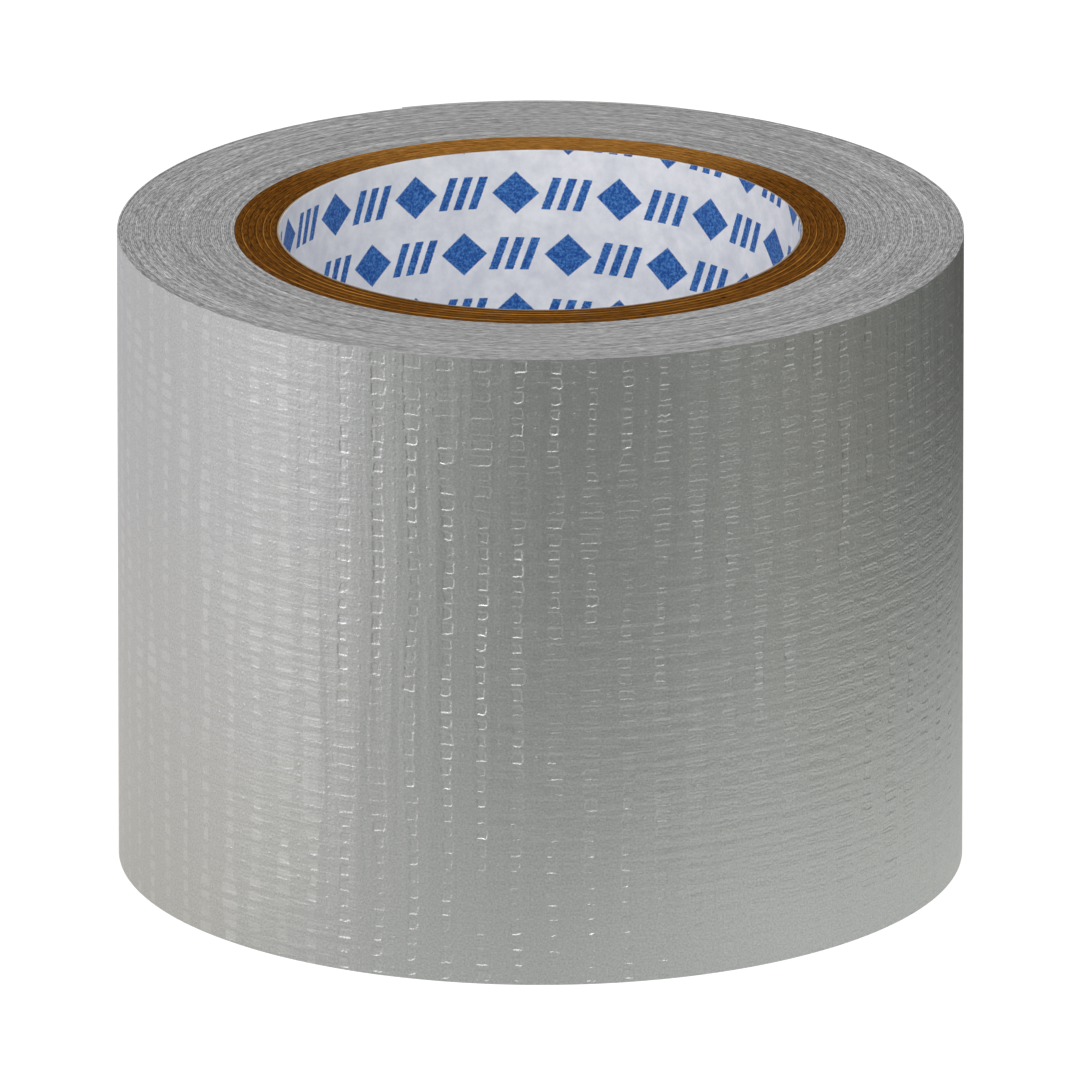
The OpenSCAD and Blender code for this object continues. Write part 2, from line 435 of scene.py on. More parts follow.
# three slanted bars to the right of it
slanted = add(tree, "ShaderNodeMath", {
    0: add(tree, "ShaderNodeMath", {0: up, 1: -bar_slant, 2: along}, operation="MULTIPLY_ADD"), 1: bars_at},
    operation="SUBTRACT")
bar = add(tree, "ShaderNodeMath", {
    0: add(tree, "ShaderNodeMath", {0: slanted, 1: bar_spacing / 2, 2: -bar_spacing / 2}, operation="WRAP")},
    operation="ABSOLUTE")
bar = add(tree, "ShaderNodeMapRange", {
    "Value": add(tree, "ShaderNodeMath", {0: bleed, 1: 0.25, 2: bar}, operation="MULTIPLY_ADD"),
    "From Min": 0.60, "From Max": 0.70, "To Min": 1.0, "To Max": 0.0})
inside = add(tree, "ShaderNodeMath", {
    0: add(tree, "ShaderNodeMath", {
        0: add(tree, "ShaderNodeMath", {0: slanted}, operation="ABSOLUTE"), 1: 1.5 * bar_spacing},
        operation="LESS_THAN"),
    1: add(tree, "ShaderNodeMath", {0: height_off, 1: bar_half_height}, operation="LESS_THAN")},
    operation="MULTIPLY")
inked = add(tree, "ShaderNodeMath", {
    0: add(tree, "ShaderNodeMath", {0: bar, 1: inside}, operation="MULTIPLY"), 1: lozenge},
    operation="MAXIMUM")
# only the face towards the bore is printed, and the cut edge is bare and dusty
on_face = add(tree, "ShaderNodeMath", {
    0: add(tree, "ShaderNodeAttribute", attribute_name="across").outputs["Fac"], 1: 0.12}, operation="LESS_THAN")
inked = add(tree, "ShaderNodeMath", {0: inked, 1: on_face}, operation="MULTIPLY")
mottle = add(tree, "ShaderNodeTexNoise", {"Vector": coords, "Scale": 2600.0, "Detail": 4.0, "Roughness": 0.7})
blue = add(tree, "ShaderNodeMix", {
    "Factor": add(tree, "ShaderNodeMapRange", {"Value": mottle, "From Min": 0.44, "From Max": 0.62}),
    "A": linear("#0d4897"), "B": linear("#4c8acc")}, data_type="RGBA")
clouds = add(tree, "ShaderNodeTexNoise", {"Vector": coords, "Scale": 240.0, "Detail": 6.0, "Roughness": 0.68})
white = add(tree, "ShaderNodeMix", {
    "Factor": add(tree, "ShaderNodeMapRange", {"Value": clouds, "From Min": 0.35, "From Max": 0.65}),
    "A": linear("#dfe1e6"), "B": linear("#f6f6f8")}, data_type="RGBA")
dust = add(tree, "ShaderNodeTexVoronoi", {"Vector": coords, "Scale": 210.0, "Randomness": 1.0})
dusty = add(tree, "ShaderNodeMath", {
    0: add(tree, "ShaderNodeMapRange", {"Value": dust.outputs["Distance"], "From Min": 0.05, "From Max": 0.10,
                                        "To Min": 0.8, "To Max": 0.0}),
    1: add(tree, "ShaderNodeMath", {
        0: add(tree, "ShaderNodeSeparateColor", {0: dust.outputs["Color"]}), 1: 0.95}, operation="GREATER_THAN")},
    operation="MULTIPLY")
white = add(tree, "ShaderNodeMix", {"Factor": dusty, "A": white, "B": linear("#6d6258")}, data_type="RGBA")
white = add(tree, "ShaderNodeMix", {"Factor": on_face, "A": linear("#8f7d66"), "B": white}, data_type="RGBA")
face = add(tree, "ShaderNodeMix", {"Factor": inked, "A": white, "B": blue}, data_type="RGBA")
cockle = add(tree, "ShaderNodeBump", {
    "Height": add(tree, "ShaderNodeTexNoise", {"Vector": coords, "Scale": 160.0, "Detail": 5.0}),
    "Distance": 0.25 * MM, "Strength": 0.5})
sheet = add(tree, "ShaderNodeBsdfPrincipled", {"Base Color": face, "Roughness": 0.6, "Normal": cockle})
tree.links.new(sheet.outputs[0], output.inputs["Surface"])

def made_of(tree, name, material):
    """A copy of a geometry tree, all of it in another material."""
    copy = tree.copy()
    copy.name = name
    for node in copy.nodes:
        if node.bl_idname == "GeometryNodeSetMaterial":
            node.inputs["Material"].default_value = material
    return copy


liner_tree = made_of(layer_tree, "liner", printed)
grow("core_liner_print", liner_tree, "core_liner", "roll", "core_liner", **{
    "Inner radius": bore_radius, "Wall": liner_wall, "Height": roll_height, "Rounding": 0.05 * MM,
    "Fuzz": 0.06 * MM, "Seed": 7.0})


# --- Wound tape -------------------------------------------------------------
# One strip of cloth-backed tape wound sixty times round the core under
# tension.  Its slit edges lie nearly level and make the streaky grey ends of
# the roll; its last wrap shows the cloth pressed through the film.

# Silver polyethylene film, pigmented with aluminium and pressed on to cloth:
# soft gloss, and small square pockets where the film sinks between the yarns.
weft_spacing, warp_spacing, rib_spacing = 5.3, 2.4, 0.8
pulled_from, pulled_to = 8 * MM, 30 * MM
pressed_from, pressed_to = -34 * MM, -27 * MM
to_mm = (1 / MM, 1 / MM, 0)
film = bpy.data.materials.new("silver_polyethylene_film")
tree, output = node_tree(film)
strip = add(tree, "ShaderNodeVectorMath", {0: add(tree, "ShaderNodeUVMap", uv_map="strip"), 1: to_mm},
            operation="MULTIPLY")
# the yarns wander a little, so the pockets are not quite in line
wander = add(tree, "ShaderNodeTexNoise", {"Vector": strip, "Scale": 0.035, "Detail": 2.0})
wander = add(tree, "ShaderNodeVectorMath", {0: wander.outputs["Color"], 1: (0.5, 0.5, 0.5)}, operation="SUBTRACT")
pulled = add(tree, "ShaderNodeVectorMath", {0: wander, 1: (3.0, 1.6, 0), 2: strip}, operation="MULTIPLY_ADD")
cell = add(tree, "ShaderNodeVectorMath", {0: pulled, 1: (1 / weft_spacing, 1 / warp_spacing, 0)},
           operation="MULTIPLY")
index = add(tree, "ShaderNodeVectorMath", {0: cell}, operation="FLOOR")
inside = add(tree, "ShaderNodeVectorMath", {
    0: add(tree, "ShaderNodeVectorMath", {0: add(tree, "ShaderNodeVectorMath", {0: cell}, operation="FRACTION"),
                                          1: (0.5, 0.5, 0)}, operation="SUBTRACT"),
    1: (weft_spacing, warp_spacing, 0)}, operation="MULTIPLY")
off = add(tree, "ShaderNodeSeparateXYZ", {
    0: add(tree, "ShaderNodeVectorMath", {0: inside}, operation="ABSOLUTE")})
chance = add(tree, "ShaderNodeTexWhiteNoise", {"Vector": index}, noise_dimensions="2D")
chances = add(tree, "ShaderNodeSeparateColor", {0: chance.outputs["Color"]})
patch = add(tree, "ShaderNodeTexNoise", {"Vector": strip, "Scale": 0.045, "Detail": 3.0}, noise_dimensions="2D")
# the cloth was pulled wider on one side of the roll
across_roll = add(tree, "ShaderNodeSeparateXYZ", {0: add(tree, "ShaderNodeTexCoord").outputs["Object"]})
pulled_side = add(tree, "ShaderNodeMapRange", {
    "Value": across_roll, "From Min": pulled_from, "From Max": pulled_to, "To Min": -0.04, "To Max": 0.10})
patch = add(tree, "ShaderNodeMath", {0: patch, 1: pulled_side}, operation="ADD")
wide = add(tree, "ShaderNodeMapRange", {"Value": patch, "From Min": 0.46, "From Max": 0.66,
                                        "To Min": 0.50, "To Max": 1.60})
wide = add(tree, "ShaderNodeMath", {0: chances.outputs[1], 1: 0.3, 2: wide}, operation="MULTIPLY_ADD")
tall = add(tree, "ShaderNodeMath", {0: chances.outputs[2], 1: 0.30, 2: 0.58}, operation="MULTIPLY_ADD")
outside = add(tree, "ShaderNodeMath", {
    0: add(tree, "ShaderNodeMath", {0: off.outputs["X"], 1: wide}, operation="SUBTRACT"),
    1: add(tree, "ShaderNodeMath", {0: off.outputs["Y"], 1: tall}, operation="SUBTRACT"), 2: 0.45},
    operation="SMOOTH_MAX")
crooked = add(tree, "ShaderNodeTexNoise", {"Vector": strip, "Scale": 1.1, "Detail": 1.0})
outside = add(tree, "ShaderNodeMath", {0: crooked, 1: 0.5, 2: outside}, operation="MULTIPLY_ADD")
pocket = add(tree, "ShaderNodeMapRange", {"Value": outside, "From Min": 0.08, "From Max": 0.44,
                                          "To Min": 1.0, "To Max": 0.0}, interpolation_type="SMOOTHSTEP")
strength = add(tree, "ShaderNodeMapRange", {
    "Value": add(tree, "ShaderNodeTexNoise", {"Vector": strip, "Scale": 0.09, "Detail": 2.0}),
    "From Min": 0.38, "From Max": 0.55, "To Min": 0.52, "To Max": 1.0})
strength = add(tree, "ShaderNodeMath", {
    0: strength, 1: add(tree, "ShaderNodeMath", {0: chances.outputs[0], 1: 0.5, 2: 0.5},
                        operation="MULTIPLY_ADD")}, operation="MULTIPLY")
deep = add(tree, "ShaderNodeMapRange", {"Value": wide, "From Min": 0.7, "From Max": 1.5,
                                        "To Min": -0.13, "To Max": -0.055})
# and pressed flatter on the other
flatter = add(tree, "ShaderNodeMapRange", {
    "Value": across_roll, "From Min": pressed_from, "From Max": pressed_to, "To Min": 0.30, "To Max": 1.0})
deep = add(tree, "ShaderNodeMath", {0: deep, 1: flatter}, operation="MULTIPLY")
sunk = add(tree, "ShaderNodeMath", {
    0: add(tree, "ShaderNodeMath", {0: pocket, 1: strength}, operation="MULTIPLY"), 1: deep},
    operation="MULTIPLY")
# a pimple where the film lies on a knot of the yarns, halfway between pockets
knot = add(tree, "ShaderNodeVectorMath", {
    0: add(tree, "ShaderNodeCombineXYZ", {
        "X": add(tree, "ShaderNodeMath", {0: off.outputs["X"], 1: weft_spacing / 2}, operation="SUBTRACT"),
        "Y": off.outputs["Y"]})}, operation="LENGTH")
knot = add(tree, "ShaderNodeMapRange", {"Value": knot.outputs["Value"], "From Min": 0.08, "From Max": 0.34,
                                        "To Min": 0.045, "To Max": 0.0}, interpolation_type="SMOOTHSTEP")
knot = add(tree, "ShaderNodeMath", {0: knot, 1: strength}, operation="MULTIPLY")
pressed_in = add(tree, "ShaderNodeMath", {0: sunk, 1: knot}, operation="ADD")
# in the wide pockets the warp's own threads show as short ribs
rib = add(tree, "ShaderNodeMath", {
    0: add(tree, "ShaderNodeMath", {
        0: add(tree, "ShaderNodeMath", {
            0: add(tree, "ShaderNodeSeparateXYZ", {0: inside}).outputs["Y"], 1: 2 * math.pi / rib_spacing,
            2: add(tree, "ShaderNodeMath", {0: crooked, 1: 9.0}, operation="MULTIPLY")},
            operation="MULTIPLY_ADD")}, operation="COSINE"),
    1: add(tree, "ShaderNodeMapRange", {"Value": wide, "From Min": 0.8, "From Max": 1.5,
                                        "To Min": 0.0, "To Max": 0.013})}, operation="MULTIPLY")
rib = add(tree, "ShaderNodeMath", {
    0: rib, 1: add(tree, "ShaderNodeMapRange", {
        "Value": across_roll, "From Min": pulled_from, "From Max": pulled_to, "To Min": 0.2, "To Max": 1.0})},
    operation="MULTIPLY")
pressed_in = add(tree, "ShaderNodeMath", {0: rib, 1: pocket, 2: pressed_in}, operation="MULTIPLY_ADD")
grain = add(tree, "ShaderNodeTexNoise", {"Vector": strip, "Scale": 2.2, "Detail": 3.0, "Roughness": 0.65})
grained = add(tree, "ShaderNodeMath", {0: grain, 1: 0.050, 2: pressed_in}, operation="MULTIPLY_ADD")
# single warp yarns under more or less tension show as long faint ridges
taut = add(tree, "ShaderNodeTexNoise", {
    "Vector": add(tree, "ShaderNodeVectorMath", {0: strip, 1: (0.07, 0.8, 0)}, operation="MULTIPLY"),
    "Scale": 1.0, "Detail": 3.0})
grained = add(tree, "ShaderNodeMath", {0: taut, 1: 0.12, 2: grained}, operation="MULTIPLY_ADD")
bands = add(tree, "ShaderNodeTexNoise", {
    "Vector": add(tree, "ShaderNodeVectorMath", {0: strip, 1: (0.20, 0.012, 0)}, operation="MULTIPLY"),
    "Scale": 1.0, "Detail": 3.0})
relief = add(tree, "ShaderNodeMath", {0: bands, 1: 0.50, 2: grained}, operation="MULTIPLY_ADD")
pressed = add(tree, "ShaderNodeBump", {"Height": relief, "Distance": MM, "Strength": 1.0})
scuffs = add(tree, "ShaderNodeTexNoise", {"Vector": strip, "Scale": 0.5, "Detail": 5.0, "Roughness": 0.7})
flake = add(tree, "ShaderNodeTexNoise", {"Vector": strip, "Scale": 3.2, "Detail": 2.0, "Roughness": 0.7})
grey = add(tree, "ShaderNodeMix", {
    "Factor": add(tree, "ShaderNodeMapRange", {"Value": flake, "From Min": 0.3, "From Max": 0.7}),
    "A": linear("#bfc1bf"), "B": linear("#dcdedb")}, data_type="RGBA")
gloss = add(tree, "ShaderNodeMapRange", {"Value": scuffs, "From Min": 0.3, "From Max": 0.7,
                                         "To Min": 0.29, "To Max": 0.37})
# the bottom of a pocket is paler, most on the -X side where the film was pressed flatter; this paleness is a
# painted sheen, standing in for the light those pockets catch on that side
painted_sheen_in_pockets = add(tree, "ShaderNodeMath", {0: pocket, 1: strength}, operation="MULTIPLY")
painted_sheen_side = add(tree, "ShaderNodeMapRange", {
    "Value": across_roll, "From Min": pressed_from, "From Max": pressed_to, "To Min": 0.34, "To Max": 0.04})
grey = add(tree, "ShaderNodeMix", {
    "Factor": add(tree, "ShaderNodeMath", {0: painted_sheen_in_pockets, 1: painted_sheen_side}, operation="MULTIPLY"),
    "A": grey, "B": linear("#f2f3f0")}, data_type="RGBA")
skin = add(tree, "ShaderNodeBsdfPrincipled", {
    "Base Color": grey, "Metallic": 0.83, "Roughness": gloss, "Normal": pressed})
tree.links.new(skin.outputs[0], output.inputs["Surface"])

# The slit edges: film, yarn and adhesive cut through together.  Matt grey,
# streaked along the wraps, with bright threads and dark gaps.
slit = bpy.data.materials.new("slit_tape_edges")
tree, output = node_tree(slit)
at = add(tree, "ShaderNodeSeparateXYZ", {0: add(tree, "ShaderNodeTexCoord").outputs["Object"]})
flat, radius = off_axis(tree, at)
# short streaks, a little thinner than a wrap
streaks = round_rings(tree, flat, radius, 38.0, 0.22 * MM)
streak = add(tree, "ShaderNodeTexNoise", {"Vector": streaks, "Scale": 1.0, "Detail": 4.0, "Roughness": 0.62})
# some wraps stand a little proud or shy of the rest all the way round
rings = add(tree, "ShaderNodeTexNoise", {
    "Vector": round_rings(tree, flat, radius, 1.0, 0.45 * MM), "Scale": 1.0, "Detail": 3.0})
streak = add(tree, "ShaderNodeMix", {"Factor": 0.34, "A": streak, "B": rings})
tone = add(tree, "ShaderNodeValToRGB", {0: streak})
set_ramp(tone, ((0.40, "#6c6c6c"), (0.60, "#b4b4b4"), (0.69, "#dedede")))
ridge = add(tree, "ShaderNodeBump", {"Height": streak, "Distance": 0.18 * MM, "Strength": 0.9})
edge = add(tree, "ShaderNodeBsdfPrincipled", {"Base Color": tone, "Roughness": 0.5, "Normal": ridge})
tree.links.new(edge.outputs[0], output.inputs["Surface"])

film_wall, yarn_wall, glue_wall, wrap_gap = 0.07 * MM, 0.05 * MM, 0.09 * MM, 0.025 * MM
tape_wall = film_wall + 2 * yarn_wall + glue_wall
wrap_pitch = tape_wall + wrap_gap
wraps = 60
peel = frame["joints"][0]
fold = Vector(peel["pos_m"])
fold_angle = math.atan2(fold.y, fold.x)
full_turn = 2 * math.pi * cad_high[0]
rise_length = 3 * MM


def placed(tree, radius, angle, height):
    """The point at this radius, angle and height about the axis."""
    x, y = [add(tree, "ShaderNodeMath", {
        0: radius, 1: add(tree, "ShaderNodeMath", {0: angle}, operation=part)}, operation="MULTIPLY")
        for part in ("COSINE", "SINE")]
    return add(tree, "ShaderNodeCombineXYZ", {"X": x, "Y": y, "Z": height})


# a strip wound in a spiral, from one slit edge to the other
strip_tree, given = new_tree(
    "wound_strip", ("Turns", 1.0), ("Start angle", 0.0), ("Start radius", 0.05), ("Pitch", wrap_pitch),
    ("Thickness", tape_wall), ("Height", roll_height), ("Steps per turn", 180), ("Rows", 0),
    ("Waviness", 0.0), ("Uneven edges", 0.0), ("Lift", 0.0), ("Ragged tip", 0.0), ("Run", 0.0),
    ("Stepped wraps", 0.0))
steps = add(strip_tree, "ShaderNodeMath", {0: given["Turns"], 1: given["Steps per turn"]}, operation="MULTIPLY")
steps = add(strip_tree, "ShaderNodeMath", {0: steps}, operation="CEIL")
line = add(strip_tree, "GeometryNodeMeshLine", {
    "Count": add(strip_tree, "ShaderNodeMath", {0: steps, 1: 1.0}, operation="ADD")})
turned = add(strip_tree, "ShaderNodeMath", {
    0: add(strip_tree, "ShaderNodeMath", {0: add(strip_tree, "GeometryNodeInputIndex"), 1: steps},
           operation="DIVIDE"),
    1: given["Turns"]}, operation="MULTIPLY")
line = add(strip_tree, "GeometryNodeStoreNamedAttribute",
           {"Geometry": line, "Name": "turned", "Value": turned}, data_type="FLOAT", domain="POINT")
angle = add(strip_tree, "ShaderNodeMath", {0: turned, 1: 2 * math.pi, 2: given["Start angle"]},
            operation="MULTIPLY_ADD")
radius = add(strip_tree, "ShaderNodeMath", {0: turned, 1: given["Pitch"], 2: given["Start radius"]},
             operation="MULTIPLY_ADD")
radius = add(strip_tree, "ShaderNodeMath", {0: given["Thickness"], 1: 0.5, 2: radius}, operation="MULTIPLY_ADD")
# the first wrap lies flat on the core and steps up over the strip's own start;
# the step fades out over the wraps above it
part_turn = add(strip_tree, "ShaderNodeMath", {0: turned}, operation="FRACT")
step_up = add(strip_tree, "ShaderNodeMapRange", {"Value": part_turn, "From Min": 0.965, "From Max": 1.0},
              interpolation_type="SMOOTHSTEP")
fading = add(strip_tree, "ShaderNodeMapRange", {
    "Value": turned,
    "From Max": add(strip_tree, "ShaderNodeMath", {0: given["Stepped wraps"], 1: 1e-4}, operation="ADD"),
    "To Min": wrap_pitch, "To Max": 0.0})
radius = add(strip_tree, "ShaderNodeMath", {
    0: add(strip_tree, "ShaderNodeMath", {0: step_up, 1: part_turn}, operation="SUBTRACT"),
    1: fading, 2: radius}, operation="MULTIPLY_ADD")
# the free end rises off the wrap below it over its first few millimetres
risen = add(strip_tree, "ShaderNodeMapRange", {
    "Value": add(strip_tree, "ShaderNodeMath", {0: turned, 1: full_turn}, operation="MULTIPLY"),
    "From Max": rise_length}, interpolation_type="SMOOTHSTEP")
radius = add(strip_tree, "ShaderNodeMath", {0: risen, 1: given["Lift"], 2: radius}, operation="MULTIPLY_ADD")
middle = add(strip_tree, "ShaderNodeMath", {0: given["Height"], 1: 0.5}, operation="MULTIPLY")
laid = add(strip_tree, "GeometryNodeSetPosition", {
    "Geometry": line, "Position": placed(strip_tree, radius, angle, middle)})
path = add(strip_tree, "GeometryNodeMeshToCurve", {"Mesh": laid})
path = add(strip_tree, "GeometryNodeSetCurveNormal", {"Curve": path}, mode="Z_UP")
section = add(strip_tree, "GeometryNodeCurvePrimitiveQuadrilateral",
              {"Width": given["Thickness"], "Height": given["Height"]})
section = add(strip_tree, "GeometryNodeSubdivideCurve", {"Curve": section, "Cuts": given["Rows"]})
wound = add(strip_tree, "GeometryNodeCurveToMesh", {"Curve": path, "Profile Curve": section, "Fill Caps": True})

position = add(strip_tree, "GeometryNodeInputPosition")
at = add(strip_tree, "ShaderNodeSeparateXYZ", {0: position})
flat, _ = off_axis(strip_tree, at)
outwards = add(strip_tree, "ShaderNodeVectorMath", {0: flat}, operation="NORMALIZE")
so_far = add(strip_tree, "GeometryNodeInputNamedAttribute", {"Name": "turned"}, data_type="FLOAT")
# slack under the film: long soft ripples across the strip
ripple = add(strip_tree, "ShaderNodeTexNoise", {
    "Vector": add(strip_tree, "ShaderNodeVectorMath", {0: position, 1: (95.0, 95.0, 14.0)},
                  operation="MULTIPLY"), "Scale": 1.0, "Detail": 2.0})
out_by = add(strip_tree, "ShaderNodeVectorMath", {
    0: outwards, "Scale": add(strip_tree, "ShaderNodeMath", {0: ripple, 1: given["Waviness"]},
                              operation="MULTIPLY")}, operation="SCALE")
# each wrap's slit edges wander in and out by a little
whole_turn = add(strip_tree, "ShaderNodeMath", {0: so_far}, operation="FLOOR")
layer = add(strip_tree, "ShaderNodeCombineXYZ", {
    "X": add(strip_tree, "ShaderNodeMath", {0: at.outputs["X"], 1: 110.0}, operation="MULTIPLY"),
    "Y": add(strip_tree, "ShaderNodeMath", {0: at.outputs["Y"], 1: 110.0}, operation="MULTIPLY"),
    "Z": add(strip_tree, "ShaderNodeMath", {0: whole_turn, 1: 7.31}, operation="MULTIPLY")})
uneven = add(strip_tree, "ShaderNodeTexNoise", {"Vector": layer, "Scale": 1.0, "Detail": 2.0})
above = add(strip_tree, "ShaderNodeMath", {0: at.outputs["Z"], 1: middle}, operation="SUBTRACT")
on_edge = add(strip_tree, "ShaderNodeMath", {
    0: add(strip_tree, "ShaderNodeMath", {0: above}, operation="ABSOLUTE"),
    1: add(strip_tree, "ShaderNodeMath", {0: middle, 1: 1e-5}, operation="SUBTRACT")},
    operation="GREATER_THAN")
in_by = add(strip_tree, "ShaderNodeMath", {
    0: add(strip_tree, "ShaderNodeMath", {0: uneven, 1: given["Uneven edges"]}, operation="MULTIPLY"),
    1: add(strip_tree, "ShaderNodeMath", {
        0: on_edge, 1: add(strip_tree, "ShaderNodeMath", {
            0: add(strip_tree, "ShaderNodeMath", {0: above}, operation="SIGN"), 1: -1.0},
            operation="MULTIPLY")}, operation="MULTIPLY")}, operation="MULTIPLY")
# the tip is torn by hand, so it runs back unevenly between the weft yarns
at_tip = add(strip_tree, "ShaderNodeMath", {
    0: so_far, 1: add(strip_tree, "ShaderNodeMath", {0: given["Turns"], 1: 1e-4}, operation="SUBTRACT")},
    operation="GREATER_THAN")
torn = add(strip_tree, "ShaderNodeTexNoise", {"Vector": position, "Scale": 420.0, "Detail": 4.0})
back_by = add(strip_tree, "ShaderNodeVectorMath", {
    0: add(strip_tree, "ShaderNodeVectorMath", {0: outwards, 1: (0, 0, 1)}, operation="CROSS_PRODUCT"),
    "Scale": add(strip_tree, "ShaderNodeMath", {
        0: add(strip_tree, "ShaderNodeMath", {0: torn, 1: given["Ragged tip"]}, operation="MULTIPLY"),
        1: at_tip}, operation="MULTIPLY")}, operation="SCALE")
moved = add(strip_tree, "ShaderNodeVectorMath", {0: out_by, 1: back_by}, operation="ADD")
moved = add(strip_tree, "ShaderNodeVectorMath", {
    0: moved, 1: add(strip_tree, "ShaderNodeCombineXYZ", {"Z": in_by})}, operation="ADD")
wound = add(strip_tree, "GeometryNodeSetPosition", {"Geometry": wound, "Offset": moved})
# lengths run and widths, so that the cloth's pattern carries on over the fold
run = add(strip_tree, "ShaderNodeMath", {0: so_far, 1: full_turn, 2: given["Run"]}, operation="MULTIPLY_ADD")
wound = add(strip_tree, "GeometryNodeStoreNamedAttribute", {
    "Geometry": wound, "Name": "strip",
    "Value": add(strip_tree, "ShaderNodeCombineXYZ", {"X": run, "Y": at.outputs["Z"]})},
    data_type="FLOAT2", domain="CORNER")
facing = add(strip_tree, "ShaderNodeSeparateXYZ", {0: add(strip_tree, "GeometryNodeInputNormal")})
level = add(strip_tree, "ShaderNodeMath", {
    0: add(strip_tree, "ShaderNodeMath", {0: facing.outputs["Z"]}, operation="ABSOLUTE"), 1: 0.5},
    operation="GREATER_THAN")
wound = add(strip_tree, "GeometryNodeSetMaterial", {"Geometry": wound, "Material": film})
wound = add(strip_tree, "GeometryNodeSetMaterial", {"Geometry": wound, "Selection": level, "Material": slit})
add(strip_tree, "NodeGroupOutput", {0: add(strip_tree, "GeometryNodeSetShadeSmooth", {0: wound})})

grow("tape_wraps", strip_tree, "tape", "roll", "tape_winding", **{
    "Turns": float(wraps - 1), "Start angle": fold_angle, "Start radius": core_radius,
    "Uneven edges": 0.14 * MM, "Run": -full_turn * wraps, "Stepped wraps": 20.0})
grow("tape_last_wrap", strip_tree, "tape", "roll", "tape_winding", **{
    "Turns": 1.0, "Start angle": fold_angle, "Start radius": core_radius + (wraps - 1) * wrap_pitch,
    "Steps per turn": 360, "Rows": 23, "Waviness": 0.06 * MM, "Uneven edges": 0.05 * MM,
    "Run": -full_turn})


# --- Free end ---------------------------------------------------------------
# The last few centimetres of the strip, which peel off the roll.  Seen from
# its edge and its sticky side it shows what the tape is made of: film over
# warp yarns, over weft yarns, over a layer of adhesive.

end_length = 42 * MM
end_lift = 0.075 * MM
end_radius = core_radius + wraps * wrap_pitch
end_turns = end_length / full_turn

# Natural rubber adhesive with zinc oxide filler, rolled on hot: greyish white,
# tacky and shiny, with the cloth's mesh standing out in it.
sticky = bpy.data.materials.new("rubber_adhesive")
tree, output = node_tree(sticky)
strip = add(tree, "ShaderNodeVectorMath", {0: add(tree, "ShaderNodeUVMap", uv_map="strip"), 1: to_mm},
            operation="MULTIPLY")
cell = add(tree, "ShaderNodeVectorMath", {
    0: add(tree, "ShaderNodeVectorMath", {0: strip, 1: (1 / weft_spacing, 1 / warp_spacing, 0)},
           operation="MULTIPLY")}, operation="FRACTION")
off = add(tree, "ShaderNodeSeparateXYZ", {
    0: add(tree, "ShaderNodeVectorMath", {
        0: add(tree, "ShaderNodeVectorMath", {
            0: add(tree, "ShaderNodeVectorMath", {0: cell, 1: (0.5, 0.5, 0)}, operation="SUBTRACT"),
            1: (weft_spacing, warp_spacing, 0)}, operation="MULTIPLY")}, operation="ABSOLUTE")})
over_yarn = add(tree, "ShaderNodeMapRange", {
    "Value": add(tree, "ShaderNodeMath", {
        0: add(tree, "ShaderNodeMath", {0: weft_spacing / 2, 1: off.outputs["X"]}, operation="SUBTRACT"),
        1: add(tree, "ShaderNodeMath", {0: warp_spacing / 2, 1: off.outputs["Y"]}, operation="SUBTRACT"),
        2: 0.1}, operation="SMOOTH_MIN"),
    "From Min": 0.12, "From Max": 0.40, "To Min": 1.0, "To Max": 0.0}, interpolation_type="SMOOTHSTEP")
lumps = add(tree, "ShaderNodeTexNoise", {"Vector": strip, "Scale": 0.8, "Detail": 4.0})
swell = add(tree, "ShaderNodeMath", {
    0: lumps, 1: 0.05, 2: add(tree, "ShaderNodeMath", {0: over_yarn, 1: 0.06}, operation="MULTIPLY")},
    operation="MULTIPLY_ADD")
smear = add(tree, "ShaderNodeBump", {"Height": swell, "Distance": MM, "Strength": 1.0})
creamy = add(tree, "ShaderNodeMix", {"Factor": over_yarn, "A": linear("#a5a49d"), "B": linear("#c9c8c0")},
             data_type="RGBA")
tack = add(tree, "ShaderNodeBsdfPrincipled", {
    "Base Color": creamy, "Roughness": 0.32, "IOR": 1.52, "Normal": smear})
tree.links.new(tack.outputs[0], output.inputs["Surface"])

glue_tree = made_of(strip_tree, "adhesive_strip", sticky)

# Polyester and cotton yarn, loosely spun and pressed flat: off-white, matt,
# with fine fibres along it.
cloth = bpy.data.materials.new("spun_yarn")
tree, output = node_tree(cloth)
strip = add(tree, "ShaderNodeVectorMath", {0: add(tree, "ShaderNodeUVMap", uv_map="strip"), 1: to_mm},
            operation="MULTIPLY")
fibre = add(tree, "ShaderNodeTexNoise", {"Vector": strip, "Scale": 6.0, "Detail": 3.0})
off_white = add(tree, "ShaderNodeMix", {"Factor": fibre, "A": linear("#c8c6bd"), "B": linear("#efeee8")},
                data_type="RGBA")
spun = add(tree, "ShaderNodeBump", {"Height": fibre, "Distance": 0.03 * MM, "Strength": 0.8})
thread = add(tree, "ShaderNodeBsdfPrincipled", {
    "Base Color": off_white, "Roughness": 0.8, "Sheen Weight": 0.3, "Normal": spun})
tree.links.new(thread.outputs[0], output.inputs["Surface"])

